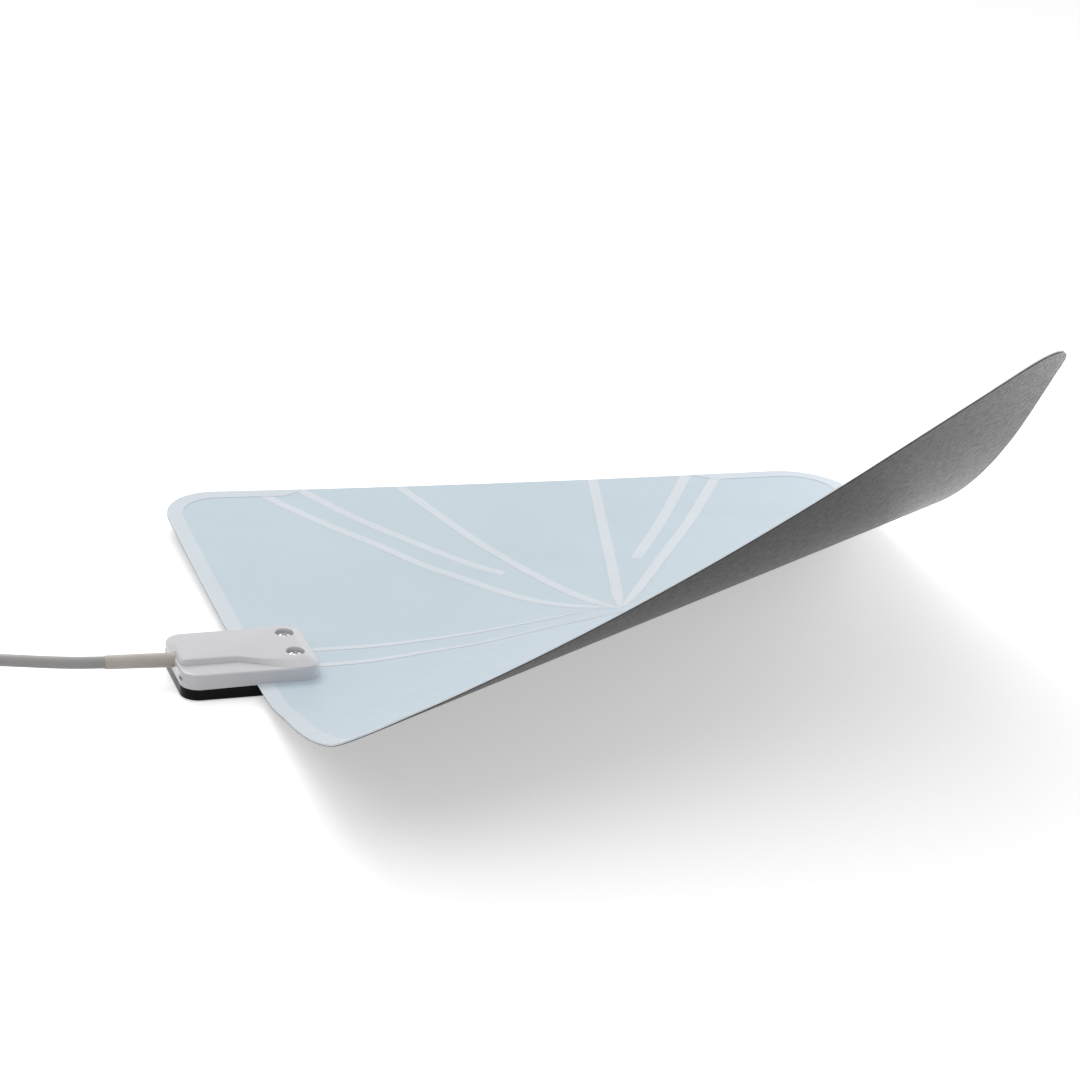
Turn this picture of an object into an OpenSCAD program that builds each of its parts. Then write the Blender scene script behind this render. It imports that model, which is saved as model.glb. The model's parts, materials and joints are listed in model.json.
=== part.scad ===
// Flat indoor television antenna: a flexible printed sheet that curls up from a
// small two-piece housing, with a thin coaxial lead.
// Millimetres. The housing stands at the origin on its flat base, the sheet runs
// towards +X and the lead leaves towards -X.

/* [Sheet] */
// Length of the sheet away from the housing, along X
sheet_len = 305; // [280:1:330]
// Width of the sheet across the housing, along Y
sheet_width = 330; // [300:1:360]
// Radius of the sheet's round corners
sheet_corner_r = 25; // [18:1:32]
// Thickness of the dark back film
back_film_t = 0.3; // [0.2:0.05:0.5]
// Thickness of the conductor layer
foil_t = 0.1; // [0.08:0.01:0.2]
// Thickness of the printed front film
front_film_t = 0.2; // [0.15:0.05:0.4]
// How far the housing's middle stands in front of the sheet's edge
sheet_setback = 1.5; // [1:0.1:4]
// Bare margin between the conductor and the sheet's edge
foil_margin = 3; // [2:0.5:5]

/* [Curl of the sheet] */
// Direction in which the curl runs, in degrees from +X towards -Y
curl_heading = 63; // [50:1:75]
// Turn of the curl's rulings per 100 mm, in degrees
curl_turn = -3.7; // [-6:0.1:0]
// Place along the heading where the curl starts
curl_start = -34; // [-45:1:-20]
// Strength of the whole curl
curl_gain = 1; // [0.6:0.05:1.1]
// Lift of the sheet's far left corner
corner_lift = 3; // [0:0.5:6]
// Slope of the flat part along the heading, in degrees
rest_pitch = 1; // [0:0.1:2]
// Slope of the flat part across the heading, in degrees
rest_roll = 0.5; // [0:0.1:0.8]
// Length over which the sheet leaves the level clamp
clamp_blend = 45; // [35:1:60]

/* [Conductor pattern] */
// Half width of the centre feed strip
feed_half_w = 7; // [5.5:0.5:7.5]
// Width of the gaps beside the feed strip
feed_gap = 1.5; // [1:0.1:2]
// Distance of the outer slots from the middle line at the far edge
outer_slot_x = 109; // [100:1:118]
// Distance of the middle slots from the middle line at the far edge
middle_slot_x = 91; // [82:1:94]
// Distance of the inner slots from the middle line at the far edge
inner_slot_x = 46; // [35:1:60]
// Width of the slots, measured along X
slot_w = 5; // [3:0.5:6]
// Share of the slots' run, from the hub, at which the middle slots end
middle_slot_end = 0.36; // [0.25:0.01:0.5]

/* [Housing] */
// Length of the housing along X
case_l = 53; // [51:0.5:58]
// Width of the housing along Y
case_w = 39; // [38:0.5:44]
// Plan radius of the housing's corners
case_r = 7; // [5:0.5:8]
// Thickness of the walls
wall = 1.7; // [1.4:0.1:2]
// Height of the black bottom cover
bottom_h = 4.5; // [4:0.1:6]
// Height of the white cover's lower step, above the sheet
ledge_h = 5.4; // [5.2:0.1:6.5]
// Height of the raised plateau above that step
plateau_h = 2.2; // [2.2:0.1:3.5]
// Half width of the plateau's narrow neck
neck_half_w = 10.5; // [9.5:0.5:12]
// Depth of the slope round the plateau
plateau_bevel = 1.3; // [0.8:0.1:1.6]
// Distance from the housing's right end at which the plateau has its full width
plateau_full_gap = 11.5; // [10:0.5:13]
// Distance from the housing's right end at which the plateau's neck ends
plateau_neck_gap = 31.5; // [28:0.5:34]

/* [Screws] */
// Distance of the screws from the housing's right end, along X
screw_end_gap = 8; // [7.5:0.1:9.5]
// Distance of the screws from the middle line, along Y
screw_y = 8.6; // [8.3:0.1:9]
// Radius of the screw head
screw_head_r = 2.8; // [2.5:0.1:3]
// Height of the screw head
screw_head_h = 1.5; // [1.2:0.1:2]
// Radius of the screw's thread
screw_r = 1.3; // [1.1:0.05:1.4]
// Radius of the recess round the head
recess_r = 3.6; // [3.3:0.1:3.8]
// Depth of the recess
recess_depth = 2.5; // [2.2:0.1:3]

/* [Electronics] */
// Length of the circuit board
board_l = 22; // [20:0.5:23]
// Width of the circuit board
board_w = 31; // [30:0.5:33]
// Thickness of the circuit board
board_t = 1; // [0.8:0.1:1.2]
// Gap between the sheet and the board, filled by the contacts
board_gap = 2.2; // [2:0.1:2.4]
// Radius of the ferrite core
core_r = 3; // [2.5:0.1:3.2]
// Height of the ferrite core
core_h = 2.2; // [1.8:0.1:2.3]

/* [Lead] */
// Diameter of the coaxial lead
cable_d = 4.6; // [4:0.1:5]
// Height of the lead's middle where it leaves the housing
cable_z = 8.7; // [8.4:0.1:8.8]
// Angle by which the lead leaves sideways, in degrees
cable_yaw = 5; // [0:1:6]
// Length of the strain relief outside the housing
relief_l = 25.5; // [20:0.5:30]
// Wall of the strain relief at the housing
relief_wall = 0.5; // [0.3:0.05:0.6]
// Radius of the braid
braid_r = 1.75; // [1.6:0.05:1.85]
// Radius of the dielectric
dielectric_r = 1.3; // [1.1:0.05:1.4]
// Radius of the centre conductor
conductor_r = 0.4; // [0.3:0.05:0.5]

/* [Plug] */
// Length of the plug's moulded grip
grip_l = 16; // [12:0.5:20]
// Radius of the plug's moulded grip
grip_r = 5.6; // [5.5:0.05:5.7]
// Length of the push-on shell
shell_l = 9; // [7:0.5:11]
// Inside radius of the push-on shell
shell_bore_r = 4.75; // [4.6:0.05:4.85]
// Wall of the push-on shell
shell_wall = 0.7; // [0.4:0.1:0.8]

/* [Hidden] */
$fn = 48;
eps = 0.01;
fit_gap = 0.1;

// Heights of the stack in the housing
sheet_z = bottom_h + back_film_t;
sheet_top = sheet_z + foil_t + front_film_t;
ledge_z = sheet_top + ledge_h;
roof_z = ledge_z + plateau_h;
roof_t = 1.5;
ledge_roof = ledge_z - roof_t;
plateau_roof = roof_z - roof_t;
board_z = sheet_top + board_gap;
board_top = board_z + board_t;
floor_t = 1.4;

// Level patch of the sheet under the housing, in sheet coordinates
screw_x = case_l / 2 - screw_end_gap;
clamp_u = case_l / 2 - sheet_setback;
clamp_v = case_w / 2 + 0.5;
screw_u = screw_x - sheet_setback;
window_half = [2.2, 1.9];
contact_u = 6.2;
contact_v = 12.3;
contact_half = [2, 1.7];
centre_contact_half_v = 2.5;

// The curl is made of many small folds: the place, direction and angle of each
fold_step = 10;
fold_count = 30;
curl_table = [[0, 0], [50, 0.31], [110, 0.56], [180, 0.34], [290, 0.14]];
function fold_s(i) = (i + 0.5) * fold_step;
function fold_angle(i) = curl_gain * lookup(fold_s(i), curl_table) / 100 * fold_step * 180 / PI;
function fold_dir(i) = curl_heading + curl_turn * fold_s(i) / 100;
function fold_n(i) = [cos(fold_dir(i)), -sin(fold_dir(i)), 0];
function fold_foot(i) = (curl_start + fold_s(i)) * [cos(curl_heading), -sin(curl_heading), 0];
identity = [[1, 0, 0], [0, 1, 0], [0, 0, 1]];
function cross_matrix(k) = [[0, -k[2], k[1]], [k[2], 0, -k[0]], [-k[1], k[0], 0]];
function spin(k, a) = identity + sin(a) * cross_matrix(k)
    + (1 - cos(a)) * cross_matrix(k) * cross_matrix(k);
function fold_spin(i) = spin([-sin(fold_dir(i)), -cos(fold_dir(i)), 0], fold_angle(i));
function fold_chain(i, m, t) = concat([[m, t]], i < fold_count
    ? fold_chain(i + 1, m * fold_spin(i), m * (fold_foot(i) - fold_spin(i) * fold_foot(i)) + t) : []);
chain = fold_chain(0, identity, [0, 0, 0]);
fold_lines = [for (i = [0:fold_count - 1]) [fold_n(i), fold_foot(i) * fold_n(i)]];
function folds_before(p) = len([for (f = fold_lines) if (p * f[0] > f[1]) 1]);
function folded(p) = let (k = chain[folds_before(p)]) k[0] * p + k[1];

// The flat part rests with a small slope, so its rulings run down to the far corner
function unit(a) = a / norm(a);
heading_n = [cos(curl_heading), -sin(curl_heading), 0];
heading_r = [sin(curl_heading), cos(curl_heading), 0];
up = [0, 0, 1];
rest_n = heading_n * cos(rest_pitch) - up * sin(rest_pitch);
rest_r0 = heading_r * cos(rest_roll) - up * sin(rest_roll);
rest_r = unit(rest_r0 - (rest_r0 * rest_n) * rest_n);
rest_z0 = cross(rest_n, rest_r);
rest_z = rest_z0[2] < 0 ? -rest_z0 : rest_z0;
function outer(a, b) = [for (x = a) x * b];
rest_turn = outer(rest_n, heading_n) + outer(rest_r, heading_r) + outer(rest_z, up);
rest_point = [clamp_u - 8, 0, 0];
rest_shift = rest_point + [0, 0, sheet_z] - rest_turn * folded(rest_point);

// Middle surface of the sheet at flat coordinates u, v
function smooth(x) = let (w = min(1, max(0, x))) w * w * (3 - 2 * w);
function clamp_weight(u, v) = smooth(1 - norm([max(u - clamp_u - 1, 0), max(abs(v) - clamp_v, 0)])
    / clamp_blend);
function lift(u, v) = corner_lift * pow(max((v - clamp_v) / (sheet_width / 2 - clamp_v), 0), 2)
    * pow(max(1 - u / (0.75 * sheet_len), 0), 2);
function sheet_point(u, v) = let (p = rest_turn * folded([u, v, 0]) + rest_shift, w = clamp_weight(u, v))
    p + w * ([u, v, sheet_z] - p) + [sheet_setback, 0, lift(u, v)];
function steepness(u, v) = let (du = sheet_point(u + 1, v) - sheet_point(u - 1, v),
    dv = sheet_point(u, v + 1) - sheet_point(u, v - 1)) unit(cross(du, dv))[2];

// Columns of the sheet's grid: fixed near both edges, fanned along the slots between
function sorted(a) = len(a) < 2 ? a : let (m = a[floor(len(a) / 2)]) concat(
    sorted([for (x = a) if (x < m) x]), [for (x = a) if (x == m) x][0], sorted([for (x = a) if (x > m) x]));
function far_from(x, a) = len([for (y = a) if (abs(x - y) < 1.2) 1]) == 0;
function corner_columns() = [for (a = [22.5, 45, 67.5, 90]) sheet_corner_r * (1 - cos(a))];
left_fixed = [0, foil_margin, contact_u - contact_half[0], contact_u + contact_half[0],
    screw_u - window_half[0], screw_u + window_half[0], clamp_u];
right_fixed = [0, foil_margin];
left_columns = sorted(concat(left_fixed, [for (c = corner_columns()) if (far_from(c, left_fixed)) c]));
right_columns = sorted(concat(right_fixed, [for (c = corner_columns()) if (far_from(c, right_fixed)) c]));
left_n = len(left_columns);
right_n = len(right_columns);
field_n = 5;
mid_u = sheet_len / 2;
gap_out = feed_half_w + feed_gap;

// Each slot edge: distance from the middle line at the hub and at the far edge, and bow
slot_edges = [[3.9, outer_slot_x + slot_w / 2, 0.27], [3.1, outer_slot_x - slot_w / 2, 0.27],
    [2.6, middle_slot_x + slot_w / 2, 0], [2.2, middle_slot_x - slot_w / 2, 0],
    [1.6, inner_slot_x + slot_w / 2, 0.08], [0.9, inner_slot_x - slot_w / 2, 0.08]];
edge_n = len(slot_edges);
function run(v) = min(1, max(0, (abs(v) - gap_out) / (sheet_width / 2 - gap_out)));
function slot_out(k, v) = let (e = slot_edges[k], q = run(v)) v > 0
    ? e[0] + (e[1] - e[0]) * (q + e[2] * q * (1 - q))
    : e[0] + ((mid_u - left_columns[left_n - 1]) * (1 - (k + 1) / (edge_n + 1)) * 0.5 - e[0]) * q;
function half_column(k, v, inner) = k < field_n
    ? let (a = mid_u - inner, b = slot_out(0, v)) a + (b - a) * (k + 1) / (field_n + 1)
    : slot_out(k - field_n, v);
half_n = field_n + edge_n;
col_n = left_n + 2 * half_n + 1 + right_n;
function column(i, v) = i < left_n ? left_columns[i]
    : i < left_n + half_n ? mid_u - half_column(i - left_n, v, left_columns[left_n - 1])
    : i == left_n + half_n ? mid_u
    : i <= left_n + 2 * half_n ? mid_u + half_column(left_n + 2 * half_n - i, v, right_columns[right_n - 1])
    : sheet_len - right_columns[col_n - 1 - i];

// Rows of the grid: fixed across the housing, then even steps to the margin and the edge
row_steps = 8;
inner_rows = [centre_contact_half_v, feed_half_w, gap_out, contact_v - contact_half[1],
    contact_v + contact_half[1], clamp_v];
last_row = sheet_width / 2 - foil_margin;
outer_rows = concat([for (i = [1:row_steps]) clamp_v + (last_row - clamp_v) * i / row_steps],
    [sheet_width / 2]);
half_rows = concat(inner_rows, outer_rows);
half_row_n = len(half_rows);
rows = concat([for (i = [half_row_n - 1:-1:0]) -half_rows[i]], half_rows);
row_n = len(rows);
function edge_gap(u) = min(u, sheet_len - u);
function half_height(u) = let (g = sheet_corner_r - min(edge_gap(u), sheet_corner_r))
    sheet_width / 2 - sheet_corner_r + sqrt(sheet_corner_r * sheet_corner_r - g * g);
function row_v(v, u) = abs(v) <= clamp_v ? v
    : sign(v) * (clamp_v + (abs(v) - clamp_v) * (half_height(u) - clamp_v) / (sheet_width / 2 - clamp_v));
flat_grid = [for (i = [0:col_n - 1]) [for (v = rows) let (u = column(i, v)) [u, row_v(v, u)]]];
sheet_grid = [for (c = flat_grid) [for (p = c) sheet_point(p[0], p[1])]];
lean_grid = [for (c = flat_grid) [for (p = c) 1 / steepness(p[0], p[1])]];

// What each cell of the grid is: 0 is bare web, 1 to 5 are the pieces of conductor
slot_first = left_n + field_n - 1;
function cell_kind(i, j) = let (v = (rows[j] + rows[j + 1]) / 2, k = i - slot_first, m = 2 * edge_n + 1 - k,
        u = (flat_grid[i][j][0] + flat_grid[i + 1][j][0]) / 2)
    u < foil_margin || u > sheet_len - foil_margin || abs(v) > last_row ? 0
    : abs(v) < feed_half_w ? 5
    : v < -gap_out ? 5
    : v < 0 ? (k < edge_n + 1 ? 0 : 5)
    : v < gap_out ? (m < 1 ? 5 : 0)
    : k < 1 ? 1
    : m < 1 ? 5
    : k == 1 || m == 1 || k == 5 || m == 5 ? 0
    : k == 3 || m == 3 ? (run(v) > middle_slot_end ? 0 : k == 3 ? 2 : 4)
    : k < 5 ? 2
    : m < 5 ? 4 : 3;
kinds = [for (i = [0:col_n - 2]) [for (j = [0:row_n - 2]) cell_kind(i, j)]];

// Windows in the sheet: for the screws through every layer, for the contacts through the front
function in_window(i, j, u, v, half) = let (a = flat_grid[i][j], b = flat_grid[i + 1][j + 1],
    c = (a + b) / 2) abs(c[0] - u) < half[0] && abs(abs(c[1]) - v) < half[1];
function at_screw(i, j) = in_window(i, j, screw_u, screw_y, window_half);
function at_contact(i, j) = in_window(i, j, contact_u, contact_v, contact_half)
    || in_window(i, j, contact_u, 0, [contact_half[0], centre_contact_half_v]);
screw_free = [for (i = [0:col_n - 2]) [for (j = [0:row_n - 2]) at_screw(i, j) ? 0 : 1]];
front_free = [for (i = [0:col_n - 2]) [for (j = [0:row_n - 2]) at_screw(i, j) || at_contact(i, j) ? 0 : 1]];
foil_cells = [for (i = [0:col_n - 2]) [for (j = [0:row_n - 2]) at_screw(i, j) ? -1 : kinds[i][j]]];

// One layer of the sheet between two heights, over the cells whose value is the wanted one
module sheet_layer(low, high, cells, wanted) {
    half = col_n * row_n;
    function top(i, j) = i * row_n + j;
    function bot(i, j) = half + i * row_n + j;
    function on(i, j) = i >= 0 && j >= 0 && i < col_n - 1 && j < row_n - 1 && cells[i][j] == wanted;
    points = concat(
        [for (i = [0:col_n - 1], j = [0:row_n - 1]) sheet_grid[i][j] + [0, 0, high * lean_grid[i][j]]],
        [for (i = [0:col_n - 1], j = [0:row_n - 1]) sheet_grid[i][j] + [0, 0, low * lean_grid[i][j]]]);
    faces = [for (i = [0:col_n - 2]) for (j = [0:row_n - 2]) if (on(i, j)) each concat(
        [[top(i, j), top(i, j + 1), top(i + 1, j + 1)], [top(i, j), top(i + 1, j + 1), top(i + 1, j)],
            [bot(i, j), bot(i + 1, j + 1), bot(i, j + 1)], [bot(i, j), bot(i + 1, j), bot(i + 1, j + 1)]],
        on(i - 1, j) ? [] : [[top(i, j), bot(i, j), bot(i, j + 1), top(i, j + 1)]],
        on(i + 1, j) ? [] : [[top(i + 1, j), top(i + 1, j + 1), bot(i + 1, j + 1), bot(i + 1, j)]],
        on(i, j - 1) ? [] : [[top(i, j), top(i + 1, j), bot(i + 1, j), bot(i, j)]],
        on(i, j + 1) ? [] : [[top(i, j + 1), bot(i, j + 1), bot(i + 1, j + 1), top(i + 1, j + 1)]])];
    polyhedron(points, faces, convexity = 6);
}

// Rounded plate in plan
module plan(l, w, r) {
    union() {
        square([l - 2 * r, w], center = true);
        square([l, w - 2 * r], center = true);
        for (x = [-1, 1], y = [-1, 1]) translate([x * (l / 2 - r), y * (w / 2 - r)]) circle(r);
    }
}

// Outline of the plateau, drawn in by a distance all round
neck_end = case_l / 2 - plateau_neck_gap;
full_x = case_l / 2 - plateau_full_gap;
shoulder = [full_x - (full_x - neck_end) / 3, case_w / 2 - 2];
function plateau_outline(in) = let (x0 = -case_l / 2 + 0.4 + in, x1 = case_l / 2 - 0.4 - in * 3,
        n = neck_half_w - in, s = shoulder[1] - in, w = case_w / 2 - in)
    [[x0, n], [neck_end, n], [shoulder[0], s], [full_x, w], [x1, w]];
function mirrored(a) = [for (i = [len(a) - 1:-1:0]) [a[i][0], -a[i][1]]];
module plateau_part(first, last, in, z, h) {
    pts = plateau_outline(in);
    side = [for (i = [first:last]) pts[i]];
    translate([0, 0, z]) linear_extrude(h) polygon(concat(side, mirrored(side)));
}
module plateau() {
    skin = 0.02;
    intersection() {
        union() for (r = [[0, 1], [1, 4]]) hull() {
            plateau_part(r[0], r[1], 0, ledge_z - 0.5, 0.5);
            plateau_part(r[0], r[1], plateau_bevel, roof_z - skin, skin);
        }
        translate([0, 0, ledge_z - 1]) linear_extrude(plateau_h + 2) plan(case_l, case_w, case_r);
    }
}

// Frame of the lead where it leaves: local X runs from outside to inside, 0 at the wall's face
module at_exit() {
    translate([-case_l / 2, 0, cable_z]) rotate([0, 0, -cable_yaw]) children();
}
module rod(x0, x1, r) {
    translate([x0, 0, 0]) rotate([0, 90, 0]) cylinder(h = x1 - x0, r = r);
}
relief_r = cable_d / 2 + relief_wall;
exit_hole_r = relief_r + 0.2;
flange_x = wall + 0.5;
flange_t = 1.6;
flange_half = [4.4, 3.1];
crimp_x = flange_x + flange_t + 0.2;
crimp_l = 3;
crimp_wall = 0.8;
board_x = 0.25;
board_start = case_l / 2 + board_x - board_l / 2;
dielectric_end = board_start - 1.2;
braid_end = dielectric_end - 2.5;
jacket_end = braid_end - 1.5;
conductor_end = board_start + 2.8;
core_start = 6 - relief_l;
rib_x = crimp_x + crimp_l + 0.6;
rib_t = 1;
rib_half_w = 3;
clip_y = 13;
clip_w = 3;
clip_t = 1.3;
hook_size = [0.8, clip_w, 1.2];
hook_z = ledge_roof - 2 * hook_size[2];
hook_gap = 0.15;
post_x = -6.5;
post_y = 12.3;
post_r = 1.8;
pin_r = 0.95;
boss_r = 3.1;
tab_size = [6, 1.2];

module back_film() {
    color([0.24, 0.23, 0.25]) sheet_layer(-back_film_t, 0, screw_free, 1);
}
module bond_web() {
    color([0.86, 0.88, 0.9]) sheet_layer(0, foil_t, foil_cells, 0);
}
module foil(kind) {
    color([0.76, 0.79, 0.83]) sheet_layer(0, foil_t, foil_cells, kind);
}
module foil_left() { foil(1); }
module foil_inner_left() { foil(2); }
module foil_centre() { foil(3); }
module foil_inner_right() { foil(4); }
module foil_main() { foil(5); }
module front_film() {
    color([0.8, 0.84, 0.88]) sheet_layer(foil_t, foil_t + front_film_t, front_free, 1);
}

module bottom_cover() {
    color([0.06, 0.06, 0.07]) difference() {
        union() {
            difference() {
                linear_extrude(bottom_h) plan(case_l, case_w, case_r);
                translate([0, 0, floor_t]) linear_extrude(bottom_h)
                    plan(case_l - 2 * wall, case_w - 2 * wall, case_r - wall);
            }
            for (y = [-1, 1]) translate([0, 0, floor_t / 2]) {
                translate([screw_x, y * screw_y]) cylinder(h = bottom_h - floor_t / 2, r = boss_r - 0.3);
                translate([post_x, y * post_y]) cylinder(h = board_z - floor_t / 2, r = post_r);
                translate([post_x, y * post_y]) cylinder(h = board_top + 0.3 - floor_t / 2, r = pin_r);
            }
            for (y = [-1, 1]) translate([-case_l / 2 + wall, y * clip_y - clip_w / 2, 0]) {
                translate([fit_gap, 0, floor_t / 2])
                    cube([clip_t, clip_w, hook_z + hook_size[2] - floor_t / 2]);
                translate([fit_gap + 0.1 - hook_size[0], 0, hook_z]) cube(hook_size);
            }
            translate([-case_l / 2 + rib_x, -rib_half_w, floor_t / 2])
                cube([rib_t, 2 * rib_half_w, cable_z - cable_d / 2 - fit_gap - floor_t / 2]);
        }
        for (y = [-1, 1]) translate([screw_x, y * screw_y, floor_t])
            cylinder(h = bottom_h, r = screw_r - 0.15);
    }
}

module top_cover() {
    color([0.86, 0.86, 0.88]) difference() {
        union() {
            difference() {
                union() {
                    translate([0, 0, bottom_h]) linear_extrude(ledge_z - bottom_h)
                        plan(case_l, case_w, case_r);
                    plateau();
                }
                translate([0, 0, bottom_h - 1]) linear_extrude(ledge_roof - bottom_h + 1)
                    plan(case_l - 2 * wall, case_w - 2 * wall, case_r - wall);
                translate([0, 0, ledge_roof - 1]) linear_extrude(plateau_roof - ledge_roof + 1)
                    polygon(concat(plateau_hollow(), mirrored(plateau_hollow())));
            }
            for (y = [-1, 1]) {
                translate([screw_x, y * screw_y, sheet_top])
                    cylinder(h = ledge_roof - sheet_top + 0.5, r = boss_r);
                translate([post_x, y * (board_w / 2 - 1), board_top])
                    linear_extrude(ledge_roof - board_top + 0.5) square(tab_size, center = true);
            }
        }
        translate([sheet_setback - 0.2, -case_w, bottom_h - 1])
            cube([case_l, 2 * case_w, sheet_top - bottom_h + 1]);
        at_exit() rod(-4, wall + 2, exit_hole_r);
        for (y = [-1, 1]) translate([screw_x, y * screw_y, 0]) {
            translate([0, 0, roof_z - recess_depth]) cylinder(h = recess_depth + 1, r = recess_r);
            translate([0, 0, bottom_h]) cylinder(h = roof_z - bottom_h, r = screw_r + 0.2);
        }
        for (y = [-1, 1]) translate([-case_l / 2 - 1, y * clip_y - clip_w / 2 - hook_gap, hook_z - hook_gap])
            cube([wall + 1.4, clip_w + 2 * hook_gap, hook_size[2] + 2 * hook_gap]);
    }
}
function plateau_hollow() = let (y = neck_half_w - 2 * wall) [[-case_l / 2 + wall + 1.3, y], [neck_end + 1, y],
    [shoulder[0], case_w / 2 - 7], [screw_x - recess_r - 1.2, case_w / 2 - 6.5]];

module cover_screws() {
    head_z = roof_z - recess_depth;
    cross_size = [3.2, 0.7, 1.6];
    cross_turn = 20;
    color([0.75, 0.76, 0.78]) for (y = [-1, 1]) translate([screw_x, y * screw_y, 0]) {
        translate([0, 0, floor_t + 0.5]) cylinder(h = head_z - floor_t, r = screw_r);
        difference() {
            translate([0, 0, head_z]) cylinder(h = screw_head_h, r = screw_head_r);
            for (a = [0, 90]) rotate([0, 0, a + cross_turn])
                translate([0, 0, head_z + screw_head_h]) cube(cross_size, center = true);
        }
    }
}

module circuit_board() {
    color([0.1, 0.4, 0.2]) difference() {
        translate([board_x - board_l / 2, -board_w / 2, board_z]) cube([board_l, board_w, board_t]);
        for (y = [-1, 1]) translate([post_x, y * post_y, board_z - 1])
            cylinder(h = board_t + 2, r = pin_r + fit_gap);
    }
}
module contact_blocks() {
    inset = 0.3;
    color([0.85, 0.7, 0.35]) for (v = [-contact_v, 0, contact_v])
        let (half = [contact_half[0] - inset, (v == 0 ? centre_contact_half_v : contact_half[1]) - inset])
        translate([contact_u + sheet_setback - half[0], v - half[1], sheet_z + foil_t])
            cube([2 * half[0], 2 * half[1], board_z - sheet_z - foil_t]);
}
core_x = 2;
module balun_core() {
    color([0.2, 0.2, 0.22]) translate([core_x, 0, board_top]) difference() {
        cylinder(h = core_h, r = core_r);
        translate([0, 0, -1]) cylinder(h = core_h + 2, r = core_r / 2);
    }
}
module balun_winding() {
    wire = 0.25;
    color([0.75, 0.4, 0.2]) for (a = [60:60:300]) translate([core_x, 0, board_top]) rotate([0, 0, a])
        translate([0, -wire, 0]) difference() {
            translate([core_r / 2 - 2 * wire, 0, 0]) cube([core_r / 2 + 4 * wire, 2 * wire, core_h + 2 * wire]);
            translate([core_r / 2, -1, -1]) cube([core_r / 2, 3, core_h + 1]);
        }
}
module chip_parts() {
    size = [1.6, 0.9, 0.45];
    color([0.3, 0.28, 0.25]) for (p = [[-3.5, 5], [-3.5, -5], [7.5, 5], [7.5, -5], [-3.5, 8]])
        translate([p[0], p[1], board_top]) translate([-size[0] / 2, -size[1] / 2, 0]) cube(size);
}
module solder_joint() {
    size = [2, 1.8, 1.1];
    color([0.7, 0.7, 0.72]) at_exit() translate([conductor_end - size[0], 0, board_top - cable_z])
    difference() {
        translate([0, -size[1] / 2, 0]) cube(size);
        translate([-1, -conductor_r, -1])
            cube([size[0] + 2, 2 * conductor_r, cable_z - board_top + conductor_r + 1]);
    }
}

module crimp_ring() {
    color([0.72, 0.72, 0.74]) at_exit() difference() {
        rod(crimp_x, crimp_x + crimp_l, cable_d / 2 + crimp_wall);
        rod(crimp_x - 1, crimp_x + crimp_l + 1, cable_d / 2);
    }
}
module strain_relief() {
    color([0.67, 0.64, 0.61]) at_exit() difference() {
        union() {
            rod(-relief_l, flange_x + flange_t, relief_r);
            translate([flange_x, -flange_half[0], -flange_half[1]])
                cube([flange_t, 2 * flange_half[0], 2 * flange_half[1] - 0.7]);
        }
        rod(-relief_l - 1, flange_x + flange_t + 1, cable_d / 2);
    }
}
module cable_jacket() {
    color([0.62, 0.59, 0.58]) at_exit() difference() {
        rod(-relief_l, jacket_end, cable_d / 2);
        rod(core_start, jacket_end + 1, braid_r);
    }
}
module cable_braid() {
    color([0.65, 0.66, 0.68]) at_exit() difference() {
        rod(core_start, braid_end, braid_r);
        rod(core_start - 1, braid_end + 1, dielectric_r);
    }
}
module cable_dielectric() {
    color([0.95, 0.95, 0.93]) at_exit() difference() {
        rod(core_start, dielectric_end, dielectric_r);
        rod(core_start - 1, dielectric_end + 1, conductor_r);
    }
}
module cable_conductor() {
    color([0.72, 0.45, 0.3]) at_exit() rod(core_start, conductor_end, conductor_r);
}

// Route of the lead from the strain relief to the coil, and from the coil to the plug
relief_end = [-case_l / 2 - relief_l * cos(cable_yaw), relief_l * sin(cable_yaw), cable_z];
coil_outer_turn = 34.5;
coil_mid = [-142, 20 + coil_outer_turn];
lead_route = concat([relief_end], [[-62, 3.4, 8.8], [-72, 5.6, 8.9], [-82, 9, 8.7], [-92, 13, 8.1],
    [-101, 16.4, 6.7], [-111, 18.8, 4.8], [-121, 19.9, 3.4], [-131, 20, 2.9], [-142, 20, 2.9]]);
tail_route = [[-142, 20, 17], [-152, 20.2, 17], [-162, 21.4, 16.4], [-171, 25, 15], [-178.5, 31.5, 12.8],
    [-183.5, 40, 10.2], [-185.6, 50, 8], [-185.7, 58, 6.5], [-185.5, 66, 5.9]];
plug_at = tail_route[len(tail_route) - 1];

// The coil's bundle: its turns in rings and layers, resting on its tie
coil_rings = 4;
coil_layers = 4;
turn_pitch = cable_d + 0.1;
tie_t = 0.5;
bundle_w = coil_rings * turn_pitch;
bundle_h = coil_layers * turn_pitch;
bundle_out = coil_outer_turn + turn_pitch / 2;
bundle_z = tie_t + 0.1;

module cable_sweep(route) {
    sides = 10;
    n = len(route);
    function along(i) = unit(route[min(n - 1, i + 1)] - route[max(0, i - 1)]);
    function beside(i) = unit(cross(along(i), up));
    points = [for (i = [0:n - 1]) for (a = [0:sides - 1]) let (t = 360 * a / sides)
        route[i] + cable_d / 2 * (cos(t) * beside(i) + sin(t) * cross(beside(i), along(i)))];
    skin = [for (i = [0:n - 2]) for (a = [0:sides - 1]) let (b = (a + 1) % sides)
        each [[i * sides + a, i * sides + b, (i + 1) * sides + b],
            [i * sides + a, (i + 1) * sides + b, (i + 1) * sides + a]]];
    polyhedron(points, concat(skin, [[for (a = [sides - 1:-1:0]) a]],
        [[for (a = [0:sides - 1]) (n - 1) * sides + a]]), convexity = 4);
}
module cable_tube() { color([0.62, 0.59, 0.58]) cable_sweep(lead_route); }
module cable_tail() { color([0.62, 0.59, 0.58]) cable_sweep(tail_route); }
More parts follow.
